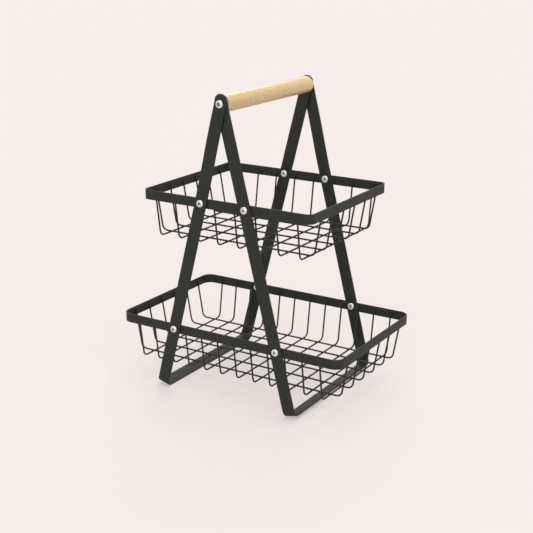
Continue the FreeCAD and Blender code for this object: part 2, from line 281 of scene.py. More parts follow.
def soften_edges(piece: Piece, width: float) -> None:
    """Rounds the sharp edges of a piece."""
    apply_modifier(piece, "BEVEL", width=width, segments=EDGE_SEGMENTS, limit_method="ANGLE",
                   angle_limit=SHARP_ANGLE, miter_outer="MITER_ARC")


def cut_out(piece: Piece, cutter: Piece) -> None:
    """Cuts one solid out of another and removes the cutter."""
    apply_modifier(piece, "BOOLEAN", object=cutter, operation="DIFFERENCE", solver="EXACT")
    bpy.data.objects.remove(cutter)


def copied(piece: Piece, name: str, move: Matrix) -> Piece:
    """Copies a piece with a mesh of its own, moved in that mesh.

    Args:
        piece: the model to copy.
        name: the copy's name.
        move: where the copy goes.

    Returns:
        The copy.
    """
    twin = piece.copy()
    twin.data = piece.data.copy()
    twin.name = name
    twin.data.name = name
    twin.data.transform(move)
    bpy.context.scene.collection.objects.link(twin)
    return twin


def joined(pieces: Sequence[Piece], name: str) -> Piece:
    """Joins pieces to one object under a new name.

    Args:
        pieces: the objects to join.
        name: the name of the whole.

    Returns:
        The whole.
    """
    select_only(*pieces)
    bpy.ops.object.join()
    whole = pieces[0]
    whole.name = name
    whole.data.name = name
    return whole


def repeated(model: Piece, name: str, moves: Sequence[Matrix]) -> Piece:
    """Joins copies of a model to one piece and removes the model.

    Args:
        model: the mesh to repeat.
        name: the piece's name.
        moves: where the copies go.

    Returns:
        The piece.
    """
    copies = [copied(model, name, move) for move in moves]
    bpy.data.objects.remove(model)
    return joined(copies, name)


class Board:
    """The nodes of one material or node group."""

    def __init__(self, tree: bpy.types.NodeTree) -> None:
        """Takes over an empty or new node tree."""
        self.tree = tree

    def add(self, kind: str, settings: dict[str, Any] | None = None, *values: Any, **inputs: Any) -> Node:
        """Adds a node, sets its properties and fills its inputs.

        Args:
            kind: the node's type name.
            settings: the node's own properties.
            values: what goes into its first inputs, in their order.
            inputs: what goes into its inputs by name, as for fill.

        Returns:
            The new node.
        """
        node = self.tree.nodes.new(kind)
        for name, value in (settings or {}).items():
            setattr(node, name, value)
        for socket, value in zip(node.inputs, values):
            self.feed(socket, value)
        self.fill(node, **inputs)
        return node

    def fill(self, node: Node, **inputs: Any) -> None:
        """Sets or links inputs of a node by their names, with underscores for spaces."""
        for name, value in inputs.items():
            self.feed(node.inputs[name.replace("_", " ")], value)

    def feed(self, socket: Socket, value: Any) -> None:
        """Links a socket to an output, or sets its plain value.

        Args:
            socket: the input to feed.
            value: an output, a number, a vector or a colour without its alpha.
        """
        if isinstance(value, Socket):
            self.tree.links.new(value, socket)
        elif socket.type == "RGBA":
            socket.default_value = (*value, 1.0)
        else:
            socket.default_value = value

    def noise(self, place: Socket, scale: Any, detail: float, roughness: float) -> Socket:
        """Adds a noise texture and gives its value."""
        return self.add("ShaderNodeTexNoise", Vector=place, Scale=scale, Detail=detail,
                        Roughness=roughness).outputs["Fac"]

    def spread(self, value: Socket, low: float, high: float, start: float = 0.0, end: float = 1.0) -> Socket:
        """Maps a mask from the range of start and end to the range of low and high."""
        return self.add("ShaderNodeMapRange", Value=value, From_Min=start, From_Max=end, To_Min=low,
                        To_Max=high).outputs["Result"]

    def reckon(self, operation: str, first: Any, second: Any, clamp: bool = False) -> Socket:
        """Works a value out from two numbers or outputs, and can clamp it between zero and one."""
        node = self.add("ShaderNodeMath", {"operation": operation, "use_clamp": clamp}, first, second)
        return node.outputs[0]

    def blend(self, share: Socket, first: Any, second: Any) -> Socket:
        """Mixes two colours by a mask.

        Args:
            share: the mask, zero for the first colour and one for the second.
            first: a colour or an output.
            second: a colour or an output.

        Returns:
            The mixed colour.
        """
        node = self.add("ShaderNodeMix", {"data_type": "RGBA"})
        for index, value in zip(MIX_INPUTS, (share, first, second)):
            self.feed(node.inputs[index], value)
        return node.outputs[MIX_OUTPUT]


def new_material(name: str) -> tuple[Material, Board, Node]:
    """Starts a material.

    Args:
        name: the material's name.

    Returns:
        The material, its node board and its shader.
    """
    material = bpy.data.materials.new(name)
    material.use_nodes = True
    board = Board(material.node_tree)
    shader = material.node_tree.nodes["Principled BSDF"]
    return material, board, shader


@dataclass(frozen=True)
class Speckle:
    """The texture that the coat and the metals share: a fine grain and a broad, cloudy change of tone."""

    fine_detail: float = 2.0
    fine_roughness: float = 0.55
    broad_detail: float = 3.0
    broad_roughness: float = 0.5

    def group(self) -> bpy.types.NodeTree:
        """Builds the texture as a node group, once.

        Returns:
            The node group, with the sockets Fine Scale, Broad Scale, Fine and Broad.
        """
        name = "surface_speckle"
        if name in bpy.data.node_groups:
            return bpy.data.node_groups[name]
        group = bpy.data.node_groups.new(name, "ShaderNodeTree")
        for way, sockets in (("INPUT", ("Fine Scale", "Broad Scale")), ("OUTPUT", ("Fine", "Broad"))):
            for socket in sockets:
                group.interface.new_socket(socket, in_out=way, socket_type="NodeSocketFloat")
        board = Board(group)
        scales = board.add("NodeGroupInput").outputs
        place = board.add("ShaderNodeTexCoord").outputs["Object"]
        fine = board.noise(place, scales["Fine Scale"], self.fine_detail, self.fine_roughness)
        broad = board.noise(place, scales["Broad Scale"], self.broad_detail, self.broad_roughness)
        board.add("NodeGroupOutput", Fine=fine, Broad=broad)
        return group

    def place(self, board: Board, fine_scale: float, broad_scale: float) -> Node:
        """Places the texture in a material with the material's own scales."""
        return board.add("ShaderNodeGroup", {"node_tree": self.group()}, Fine_Scale=fine_scale,
                         Broad_Scale=broad_scale)


def add_relief(board: Board, shader: Node, height: Socket, depth: float, strength: float) -> None:
    """Raises a surface by a height mask, depth metres at full strength."""
    node = board.add("ShaderNodeBump", Height=height, Distance=depth, Strength=strength)
    board.fill(shader, Normal=node.outputs["Normal"])


@dataclass(frozen=True)
class PowderCoat:
    """Matt black powder coat with a fine sandy surface."""

    dark: Colour = (0.0068, 0.0091, 0.0069)
    light: Colour = (0.0218, 0.0256, 0.0204)
    gloss: float = 0.4
    fine_scale: float = 1050.0
    broad_scale: float = 34.0
    grain_share: float = 0.4
    tone_low: float = 0.3
    tone_high: float = 0.7
    smoothest: float = 0.52
    roughest: float = 0.66
    sand_depth: float = 0.00006
    sand_strength: float = 0.6

    def material(self) -> Material:
        """Builds the coat's material.

        Returns:
            The material.
        """
        material, board, shader = new_material("powder_coat")
        speckle = Speckle().place(board, self.fine_scale, self.broad_scale).outputs
        grain = board.spread(speckle["Fine"], -self.grain_share, self.grain_share, NOISE_LOW, NOISE_HIGH)
        tone = board.spread(speckle["Broad"], self.tone_low, self.tone_high, NOISE_LOW, NOISE_HIGH)
        mask = board.reckon("ADD", tone, grain, clamp=True)
        board.fill(shader, Base_Color=board.blend(mask, self.dark, self.light),
                   Roughness=board.spread(mask, self.smoothest, self.roughest),
                   Specular_IOR_Level=self.gloss)
        add_relief(board, shader, speckle["Fine"], self.sand_depth, self.sand_strength)
        return material


@dataclass(frozen=True)
class Metal:
    """Bare or plated metal with faint marks from turning and handling."""

    name: str
    dull: Colour
    bright: Colour
    smoothest: float
    roughest: float
    fine_scale: float = 2600.0
    broad_scale: float = 240.0
    mark_depth: float = 0.00001
    mark_strength: float = 0.25

    def material(self) -> Material:
        """Builds the metal's material.

        Returns:
            The material.
        """
        material, board, shader = new_material(self.name)
        speckle = Speckle().place(board, self.fine_scale, self.broad_scale).outputs
        tone = board.spread(speckle["Broad"], 0.0, 1.0, NOISE_LOW, NOISE_HIGH)
        board.fill(shader, Base_Color=board.blend(tone, self.dull, self.bright),
                   Roughness=board.spread(tone, self.roughest, self.smoothest), Metallic=1.0)
        add_relief(board, shader, speckle["Fine"], self.mark_depth, self.mark_strength)
        return material


ZINC_PLATE = Metal("zinc_plate", dull=(0.62, 0.65, 0.64), bright=(0.84, 0.87, 0.85), smoothest=0.18,
                   roughest=0.32)
# A darker zinc for the sockets of the screws and nuts: painted shade in the recess.
ZINC_SOCKET_SHADE = Metal("zinc_socket", dull=(0.18, 0.19, 0.19), bright=(0.40, 0.42, 0.41), smoothest=0.3,
                    roughest=0.5)
TURNED_BRASS = Metal("turned_brass", dull=(0.5, 0.36, 0.14), bright=(0.68, 0.5, 0.2), smoothest=0.25,
                     roughest=0.4)


@dataclass(frozen=True)
class Beech:
    """Pale oiled beech: faint growth rings, a golden mottle and short dark flecks along the dowel."""

    pale: Colour = (0.94, 0.735, 0.42)
    gold: Colour = (0.86, 0.56, 0.205)
    fleck: Colour = (0.58, 0.33, 0.11)
    heart: Place = (0.026, 0.0, -0.041)
    ring_scale: float = 62.0
    ring_stretch: float = 0.05
    ring_distortion: float = 3.0
    ring_detail: float = 2.0
    ring_detail_scale: float = 1.4
    ring_share: float = 0.28
    mottle_scale: float = 430.0
    mottle_stretch: float = 0.10
    mottle_detail: float = 6.0
    mottle_roughness: float = 0.7
    mottle_low: float = -0.5
    mottle_high: float = 1.2
    fleck_scale: float = 1500.0
    fleck_stretch: float = 0.06
    fleck_detail: float = 1.0
    fleck_roughness: float = 0.4
    fleck_share: float = 0.75
    fleck_start: float = 0.58
    fleck_full: float = 0.72
    gloss: float = 0.75
    smoothest: float = 0.24
    roughest: float = 0.34
    grain_depth: float = 0.00003
    grain_strength: float = 0.3
    oil: float = 0.15
    oil_roughness: float = 0.25

    def along_grain(self, board: Board, stretch: float) -> Socket:
        """Gives coordinates about the tree's heart, drawn out along the dowel.

        Args:
            board: the wood's nodes.
            stretch: the scale along the dowel, where that across it is one.

        Returns:
            The coordinates.
        """
        place = board.add("ShaderNodeTexCoord").outputs["Object"]
        node = board.add("ShaderNodeMapping", Vector=place, Scale=(1.0, stretch, 1.0), Location=self.heart)
        return node.outputs["Vector"]

    def material(self) -> Material:
        """Builds the wood's material.

        Returns:
            The material.
        """
        material, board, shader = new_material("oiled_beech")
        rings = board.add("ShaderNodeTexWave", {"wave_type": "RINGS", "rings_direction": "Y"},
                          Vector=self.along_grain(board, self.ring_stretch), Scale=self.ring_scale,
                          Distortion=self.ring_distortion, Detail=self.ring_detail,
                          Detail_Scale=self.ring_detail_scale).outputs["Fac"]
        mottle = board.noise(self.along_grain(board, self.mottle_stretch), self.mottle_scale,
                             self.mottle_detail, self.mottle_roughness)
        flecks = board.noise(self.along_grain(board, self.fleck_stretch), self.fleck_scale,
                             self.fleck_detail, self.fleck_roughness)
        ring_mask = board.spread(rings, 0.0, self.ring_share)
        mottle_mask = board.spread(mottle, self.mottle_low, self.mottle_high, NOISE_LOW, NOISE_HIGH)
        mask = board.reckon("ADD", ring_mask, mottle_mask, clamp=True)
        wood = board.blend(mask, self.pale, self.gold)
        fleck_mask = board.spread(flecks, 0.0, self.fleck_share, self.fleck_start, self.fleck_full)
        board.fill(shader, Base_Color=board.blend(fleck_mask, wood, self.fleck),
                   Roughness=board.spread(mask, self.smoothest, self.roughest),
                   Specular_IOR_Level=self.gloss, Coat_Weight=self.oil, Coat_Roughness=self.oil_roughness)
        add_relief(board, shader, flecks, self.grain_depth, self.grain_strength)
        return material


@dataclass(frozen=True)
class Finish:
    """A material and the record's slot that it stands for."""

    material: Material
    slot: str


@dataclass(frozen=True)
class Finishes:
    """The finishes of the whole stand, and the two materials that no piece wears as its main one: the darker
    zinc that paints shade into the screws' sockets, and the brass.
    """

    coat: Finish
    plate: Finish
    beech: Finish
    # Painted shade for the screws' sockets.
    socket: Material
    brass: Material

    @classmethod
    def make(cls) -> "Finishes":
        """Builds each material once.

        Returns:
            The stand's finishes.
        """
        coat = Finish(PowderCoat().material(), "powder_coat")
        plate = Finish(ZINC_PLATE.material(), "plated_steel")
        beech = Finish(Beech().material(), "beech")
        return cls(coat, plate, beech, ZINC_SOCKET_SHADE.material(), TURNED_BRASS.material())


def finish_piece(piece: Piece, finish: Finish, body: Body, nodes: Sequence[str] = ()) -> None:
    """Dresses a piece that has no material yet and hangs it on its body.

    Args:
        piece: the finished mesh.
        finish: what it is coated with or made of.
        body: the body it moves with.
        nodes: the nodes of the part that it stands for.
    """
    if not piece.data.materials:
        piece.data.materials.append(finish.material)
    select_only(piece)
    bpy.ops.object.shade_smooth_by_angle(angle=SMOOTH_ANGLE)
    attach(piece, body.value)
    if nodes:
        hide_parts(*nodes)
    LOG.info("%s: %d faces", piece.name, len(piece.data.polygons))


@dataclass(frozen=True)
class Layout:
    """Where the stand's main lines run, read from the frame, and the stock sizes that its pieces share."""

    half_depth: float
    grip_height: float
    lean: float
    upper_rim_top: float
    screw_across: dict[Tier, float]
    screw_height: dict[Tier, float]
    leg_thickness: float = 0.0025
    rim_thickness: float = 0.002
    nut_head: float = 0.011
    barrel_hole: float = 0.00355
    drill_depths: float = 3.0

    @classmethod
    def read(cls, frame: dict[str, Any]) -> "Layout":
        """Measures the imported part.


        Returns:
            The stand's main lines.
        """
        across, height = {}, {}
        for tier in Tier:
            low, high = corners(f"{tier.value}_rim_nuts")
            across[tier] = high.x - cls.nut_head / 2
            height[tier] = (low.z + high.z) / 2
        rim_high = corners("upper_rim")[1]
        rise = height[Tier.UPPER] - height[Tier.LOWER]
        lean = math.atan2(across[Tier.LOWER] - across[Tier.UPPER], rise)
        joint = frame["record"]["behaviour"]["joints"][0]
        return cls(rim_high.y, joint["pos_m"][2], lean, rim_high.z, across, height)

    def drill(self, piece: Piece, radius: float, across: float, up: float) -> None:
        """Drills a hole through the front and the rear of a piece, with a drill some half depths long."""
        length = self.drill_depths * self.half_depth
        cut_out(piece, add_cylinder("drill", HOLE_POINTS, radius, length, (across, 0.0, up), ALONG_Y))


@dataclass
class LegFrame:
    """One strap bent to a U: an outer leg with a joggle, a floor bar and a plain leg."""

    layout: Layout
    finishes: Finishes
    width: float = 0.019
    bend_radius: float = 0.008
    end_reach: float = 0.0135
    crossing_margin: float = 0.003
    joggle_margin: float = 0.012
    joggle_steps: int = 6
    grip_hole: float = 0.00305
    edge_round: float = 0.0005
    end_points: int = 64
    bend_steps: int = 8

    @property
    def length(self) -> float:
        """From the grip's axis to the underside of the floor bar, along the leg."""
        lean = self.layout.lean
        return (self.layout.grip_height - self.width / 2 * math.sin(lean)) / math.cos(lean)

    @property
    def joggle_start(self) -> float:
        """Where the joggle begins below the grip's axis, clear of the crossing."""
        return self.width / 2 / math.tan(self.layout.lean) + self.crossing_margin

    @property
    def joggle_end(self) -> float:
        """Where the joggle ends below the grip's axis, clear of the upper rim."""
        drop = self.layout.grip_height - self.layout.upper_rim_top
        return drop / math.cos(self.layout.lean) - self.joggle_margin

    def half(self, name: str, step_out: float) -> Piece:
        """Models the front leg and half of the floor bar, with the grip's axis at zero height.

        Args:
            name: the piece's name.
            step_out: how far the leg's upper end stands out from its lower run.

        Returns:
            The half strap, open where it meets the other half.
        """
        half_depth, thickness = self.layout.half_depth, self.layout.leg_thickness
        shoulder = self.end_reach - self.width / 2
        centre = (0.0, -(half_depth + thickness / 2) - step_out, shoulder)
        bend_deep = -half_depth + self.bend_radius
        bend_up = -self.length + thickness + self.bend_radius
        piece = add_cylinder(name, self.end_points, self.width / 2, thickness, centre, ALONG_Y)
        with modelling(piece):
            pick_all()
            bpy.ops.mesh.bisect(plane_co=centre, plane_no=(0.0, 0.0, 1.0), clear_inner=True, use_fill=True)
            pick(piece, Picked.FACES, lambda face: face.normal.z < -SQUARE_ON
                 and abs(face.calc_center_median().z - shoulder) < NEAR)
            extrude(up=-self.joggle_start - shoulder)
            self.joggle(step_out)
            extrude(up=bend_up + self.joggle_end)
            bend(QUARTER, bend_deep, bend_up, self.bend_steps)
            extrude(deep=-bend_deep)
            bpy.ops.mesh.delete(type="ONLY_FACE")
        return piece

    def joggle(self, step_out: float) -> None:
        """Draws the selected end through the joggle, as a soft S.

        Args:
            step_out: how far the leg steps back inwards.
        """
        drop = (self.joggle_end - self.joggle_start) / self.joggle_steps
        turns = (math.pi * step / self.joggle_steps for step in range(self.joggle_steps + 1))
        shares = [(1 - math.cos(turn)) / 2 for turn in turns]
        for before, after in zip(shares, shares[1:]):
            extrude(deep=step_out * (after - before), up=-drop)

    def build(self) -> None:
        """Models the strap once, with its holes for screws and nuts, and stands it on both sides."""
        front = self.half("strap", self.layout.leg_thickness)
        rear = self.half("strap_rear", 0.0)
        rear.data.transform(turned(math.pi, "Z"))
        strap = joined((front, rear), "strap")
        close_up(strap)
        soften_edges(strap, self.edge_round)
        self.layout.drill(strap, self.grip_hole, 0.0, 0.0)
        for height in self.layout.screw_height.values():
            drop = (self.layout.grip_height - height) / math.cos(self.layout.lean)
            self.layout.drill(strap, self.layout.barrel_hole, 0.0, -drop)
        stand = Matrix.Translation((0.0, 0.0, self.layout.grip_height))
        for side, turn in (("left", 0.0), ("right", math.pi)):
            move = stand @ turned(turn, "Z") @ turned(self.layout.lean, "Y")
            piece = copied(strap, f"{side}_bent_strap", move)
            finish_piece(piece, self.finishes.coat, Body.FRAME, [f"{side}_leg_frame"])
        bpy.data.objects.remove(strap)


@dataclass
class Rim:
    """One strap bent to a ring round the top of a basket."""

    tier: Tier
    layout: Layout
    finishes: Finishes
    corner_radius: float
    edge_round: float = 0.0004
    corner_steps: int = 12

    def build(self) -> None:
        """Models the ring with its rounded corners, soft edges and screw holes."""
        node = f"{self.tier.value}_rim"
        low, high = corners(node)
        size = high - low
        clear_selection()
        bpy.ops.mesh.primitive_plane_add(size=1.0, location=(0.0, 0.0, low.z))
        bpy.context.active_object.scale = (size.x, size.y, 1.0)
        ring = settled(f"{self.tier.value}_bent_rim")
        with modelling(ring):
            pick_all()
            bpy.ops.mesh.bevel(offset=self.corner_radius, segments=self.corner_steps, affect="VERTICES",
                               clamp_overlap=False)
            pick_all()
            bpy.ops.mesh.inset(thickness=self.layout.rim_thickness)
            bpy.ops.mesh.delete(type="FACE")
            pick_all()
            extrude(up=size.z)
        close_up(ring)
        soften_edges(ring, self.edge_round)
        across, up = self.layout.screw_across[self.tier], self.layout.screw_height[self.tier]
        for side in (-1.0, 1.0):
            self.layout.drill(ring, self.layout.barrel_hole, side * across, up)
        finish_piece(ring, self.finishes.coat, Body.FRAME, [node])


@dataclass(frozen=True)
class WireRow:
    """The wires of a basket that run one way and the height of its rim's lower edge, read from the frame."""

    run: Run
    names: tuple[str, ...]
    places: tuple[float, ...]
    radius: float
    reach: float
    top: float
    floor: float
    rim_base: float

    @classmethod
    def read(cls, tier: Tier, run: Run) -> "WireRow":
        """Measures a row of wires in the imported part.

        Args:
            tier: the basket.
            run: the direction of its wires.

        Returns:
            The row, with each wire's place across it and the wires' common shape.
        """
        stem = f"{tier.value}_{run.value}_wire_"
        found = [item.name for item in bpy.data.objects if item.name.startswith(stem)]
        names = tuple(sorted(found, key=lambda name: int(name.removeprefix(stem))))
        boxes = [corners(name) for name in names]
        across, along = (0, 1) if run is Run.CROSS else (1, 0)
        places = tuple((low[across] + high[across]) / 2 for low, high in boxes)
        low, high = boxes[0]
        radius = (high[across] - low[across]) / 2
        rim_base = corners(f"{tier.value}_rim")[0].z
        return cls(run, names, places, radius, high[along] - radius, high.z, low.z + radius, rim_base)

    def move(self, place: float) -> Matrix:
        """Turns a wire that is modelled along Y to the row's direction and shifts it to its place.

        Args:
            place: the wire's place across the row.

        Returns:
            The turn and the shift.
        """
        if self.run is Run.CROSS:
            return Matrix.Translation((place, 0.0, 0.0))
        return Matrix.Translation((0.0, place, 0.0)) @ turned(QUARTER, "Z")


@dataclass
class BasketWires:
    """The wires of one basket, each bent to a U, and the welds that hold them."""

    tier: Tier
    finishes: Finishes
    front_inset: float = 0.008
    end_inset: float = 0.009
    bend_radius: float = 0.009
    kink_radius: float = 0.012
    points: int = 16
    bend_steps: int = 8
    kink_steps: int = 2
    end_round: float = 0.0004
    round_segments: int = 2
    weld_width_share: float = 1.5
    weld_depth_share: float = 1.24
    weld_height: float = 0.0065
    weld_points: int = 12
    weld_rings: int = 6
    spot_share: float = 1.0
    spot_flatness: float = 0.55
    spot_round: float = 0.4

    def bent_wire(self, row: WireRow, inset: float) -> Piece:
        """Models one wire of a row, running along Y.

        Args:
            row: the wire's measures.
            inset: how far its wall leans in below the rim.

        Returns:
            The wire.
        """
        drop = row.rim_base - row.floor
        slant = math.atan2(inset, drop)
        turn = QUARTER - slant
        kink_run = self.kink_radius * math.tan(slant / 2)
        bend_run = self.bend_radius * math.tan(turn / 2)
        wall = math.hypot(inset, drop) - kink_run - bend_run
        bend_start = Vector((0.0, inset - row.reach - bend_run * math.sin(slant),
                             row.floor + bend_run * math.cos(slant)))
        bend_centre = bend_start + self.bend_radius * Vector((0.0, math.cos(slant), math.sin(slant)))
        clear_selection()
        bpy.ops.mesh.primitive_circle_add(vertices=self.points, radius=row.radius, fill_type="NGON",
                                          location=(0.0, -row.reach, row.top))
        wire = settled("wire")
        with modelling(wire):
            pick_all()
            extrude(up=row.rim_base + kink_run - row.top)
            bend(slant, self.kink_radius - row.reach, row.rim_base + kink_run, self.kink_steps)
            extrude(deep=wall * math.sin(slant), up=-wall * math.cos(slant))
            bend(turn, bend_centre.y, bend_centre.z, self.bend_steps)
            extrude(deep=-bend_centre.y)
            bpy.ops.mesh.delete(type="ONLY_FACE")
            round_edges(wire, lambda a, b: min(a.z, b.z) > row.top - NEAR, self.end_round,
                        self.round_segments)
        apply_modifier(wire, "MIRROR", use_axis=(False, True, False), use_clip=True, merge_threshold=NEAR)
        close_up(wire)
        return wire

    def bead(self, size: Vector) -> Piece:
        """Models one weld bead, flat on the side that faces the strap.

        Args:
            size: the bead's half sizes.

        Returns:
            The bead, lying on the plane of X and Z, swelling towards +Y.
        """
        clear_selection()
        bpy.ops.mesh.primitive_uv_sphere_add(segments=self.weld_points, ring_count=self.weld_rings)
        bpy.context.active_object.scale = size
        bead = settled("weld_bead")
        with modelling(bead):
            pick_all()
            bpy.ops.mesh.bisect(plane_co=ORIGIN, plane_no=(0.0, 1.0, 0.0), clear_inner=True, use_fill=True)
        close_up(bead)
        return bead

    def spot(self, radius: float) -> Piece:
        """Models one spot weld, a rounded pad pressed out between two crossing wires.

        Args:
            radius: the pad's radius.

        Returns:
            The pad, lying flat at the origin.
        """
        pad = add_cylinder("spot_weld", self.weld_points, radius, 2 * radius * self.spot_flatness)
        with modelling(pad):
            round_edges(pad, lambda a, b: abs(a.z - b.z) < NEAR, radius * self.spot_round,
                        self.round_segments)
        close_up(pad)
        return pad

    def lay(self, row: WireRow, inset: float) -> None:
        """Models a wire once and lays out the row as copies of it.

        Args:
            row: the wires' measures.
            inset: how far their walls lean in.
        """
        model = self.bent_wire(row, inset)
        for name, place in zip(row.names, row.places):
            piece = copied(model, name.replace("wire", "bent_wire"), row.move(place))
            finish_piece(piece, self.finishes.coat, Body.FRAME, [name])
        bpy.data.objects.remove(model)

    def weld_ends(self, *rows: WireRow) -> None:
        """Welds the ends of all wires to the middle of the rim.

        Args:
            rows: the wires of both directions.
        """
        low, high = corners(f"{self.tier.value}_rim")
        height = (low.z + high.z) / 2
        radius = rows[0].radius
        size = Vector((radius * self.weld_width_share, radius * self.weld_depth_share, self.weld_height / 2))
        moves = []
        for row in rows:
            seat = Matrix.Translation((0.0, -row.reach - row.radius, height))
            for place in row.places:
                moves += [row.move(place) @ turned(end, "Z") @ seat for end in (0.0, math.pi)]
        welds = repeated(self.bead(size), f"{self.tier.value}_end_welds", moves)
        finish_piece(welds, self.finishes.coat, Body.FRAME)

    def weld_crossings(self, cross: WireRow, long: WireRow) -> None:
        """Welds the wires to each other where they cross on the floor of the basket.

        Args:
            cross: the wires below.
            long: the wires that lie on them.
        """
        height = (cross.floor + long.floor) / 2
        places = [(across, deep, height) for across in cross.places for deep in long.places]
        moves = [Matrix.Translation(place) for place in places]
        pad = self.spot(cross.radius * self.spot_share)
        finish_piece(repeated(pad, f"{self.tier.value}_spot_welds", moves), self.finishes.coat, Body.FRAME)

    def build(self) -> None:
        """Lays the wires of both directions and welds them."""
        cross, long = (WireRow.read(self.tier, run) for run in Run)
        self.lay(cross, self.front_inset)
        self.lay(long, self.end_inset)
        self.weld_ends(cross, long)
        self.weld_crossings(cross, long)


@dataclass
class ButtonScrew:
    """A button-head screw with a hexagon socket, modelled along Z with its head up and its seat at zero."""

    head_diameter: float
    head_height: float
    head_round: float
    socket_width: float
    socket_depth: float
    shank_diameter: float
    shank_length: float
    bore_diameter: float = 0.0
    chamfer: float = 0.00018
    chamfer_angle: float = math.radians(50)
    chamfer_segments: int = 2
    dome_segments: int = 9
    points: int = 64
    socket_sides: int = 6

    @property
    def socket_radius(self) -> float:
        """From the middle of the hexagon to its corners."""
        return self.socket_width / 2 / math.cos(math.pi / self.socket_sides)

    def build(self, name: str, finishes: Finishes) -> Piece:
        """Models the screw, or with a bore the barrel nut.

        Args:
            name: the piece's name.
            finishes: the stand's finishes.

        Returns:
            The fastener, plated and with painted shade in its socket.
        """
        piece = add_cylinder(name, self.points, self.head_diameter / 2, self.head_height,
                             (0.0, 0.0, self.head_height / 2))
        with modelling(piece):
            round_edges(piece, lambda a, b: min(a.z, b.z) > self.head_height - NEAR, self.head_round,
                        self.dome_segments)
            pick(piece, Picked.FACES, lambda face: face.normal.z < -SQUARE_ON)
            bpy.ops.mesh.inset(thickness=(self.head_diameter - self.shank_diameter) / 2)
            extrude(up=-self.shank_length)
            if self.bore_diameter:
                bpy.ops.mesh.inset(thickness=(self.shank_diameter - self.bore_diameter) / 2)
                extrude(up=self.shank_length)
        close_up(piece)
        cut_out(piece, add_cylinder("socket", self.socket_sides, self.socket_radius, 2 * self.socket_depth,
                                    (0.0, 0.0, self.head_height)))
        apply_modifier(piece, "BEVEL", width=self.chamfer, segments=self.chamfer_segments,
                       limit_method="ANGLE", angle_limit=self.chamfer_angle)
        self.dress(piece, finishes)
        return piece

    def dress(self, piece: Piece, finishes: Finishes) -> None:
        """Plates the fastener and paints shade into its socket.

        Args:
            piece: the bare fastener.
            finishes: the stand's finishes.
        """
        bottom = self.head_height - self.socket_depth - NEAR
        top = self.head_height - self.chamfer / 2

        def in_socket(face: bmesh.types.BMFace) -> bool:
            """Tells the socket's faces by their middles."""
            middle = face.calc_center_median()
            return bottom < middle.z < top and middle.xy.length < self.socket_radius + NEAR

        # The socket's faces get the darker zinc: painted shade in the recess.
        for material in (finishes.plate.material, finishes.socket):
            piece.data.materials.append(material)
        with modelling(piece):
            pick(piece, Picked.FACES, in_socket)
            piece.active_material_index = 1
            bpy.ops.object.material_slot_assign()


@dataclass
class Fasteners:
    """The screws and nuts at the rims and the screws in the grip."""

    layout: Layout
    finishes: Finishes
    grip_gap: float = 0.0003
    tip_gap: float = 0.0003
    grip_screw_reach: float = 0.0198

    def set_row(self, model: ButtonScrew, name: str, node: str, body: Body, seat: Place,
                outwards: bool) -> None:
        """Models a fastener once and sets it at front and rear, and at both sides if it isn't central.

        Args:
            model: the fastener's sizes.
            name: the joined piece's name.
            node: the node that it stands for.
            body: the body it moves with.
            seat: the seats' distances from the two upright middle planes, and their height.
            outwards: whether the heads point away from the stand.
        """
        across, deep, up = seat
        moves = []
        for side in (-1.0, 1.0) if across else (1.0,):
            for front in (True, False):
                facing = QUARTER if front == outwards else -QUARTER
                shift = Matrix.Translation((side * across, -deep if front else deep, up))
                moves.append(shift @ turned(facing, "X"))
        fasteners = repeated(model.build("fastener", self.finishes), name, moves)
        finish_piece(fasteners, self.finishes.plate, body, [node])

    def fasten_rim(self, tier: Tier) -> None:
        """Sets the screws and nuts of one rim.

        Args:
            tier: the rim's basket.
        """
        layout, stem = self.layout, tier.value
        across, up = layout.screw_across[tier], layout.screw_height[tier]
        clamped = layout.leg_thickness + layout.rim_thickness - self.tip_gap
        screw = ButtonScrew(head_diameter=0.011, head_height=0.003, head_round=0.0024, socket_width=0.004,
                            socket_depth=0.0016, shank_diameter=0.005, shank_length=clamped)
        self.set_row(screw, f"{stem}_button_screws", f"{stem}_rim_screws", Body.FRAME,
                     (across, layout.half_depth + layout.leg_thickness, up), True)
        nut = ButtonScrew(head_diameter=layout.nut_head, head_height=0.0024, head_round=0.0018,
                          socket_width=0.004, socket_depth=0.0012, shank_diameter=0.007,
                          shank_length=clamped, bore_diameter=0.0051)
        self.set_row(nut, f"{stem}_barrel_nuts", f"{stem}_rim_nuts", Body.FRAME,
                     (across, layout.half_depth - layout.rim_thickness, up), False)

    def fasten_grip(self) -> None:
        """Sets the two screws that hold the grip."""
        low, high = corners("grip_screws")
        deep = self.layout.half_depth + 2 * self.layout.leg_thickness + self.grip_gap
        screw = ButtonScrew(head_diameter=high.x - low.x, head_height=high.y - deep, head_round=0.0023,
                            socket_width=0.005, socket_depth=0.002, shank_diameter=0.006,
                            shank_length=self.grip_screw_reach)
        self.set_row(screw, "grip_button_screws", "grip_screws", Body.GRIP,
                     (0.0, deep, self.layout.grip_height), True)

    def build(self) -> None:
        """Fastens both rims and the grip."""
        for tier in Tier:
            self.fasten_rim(tier)
        self.fasten_grip()


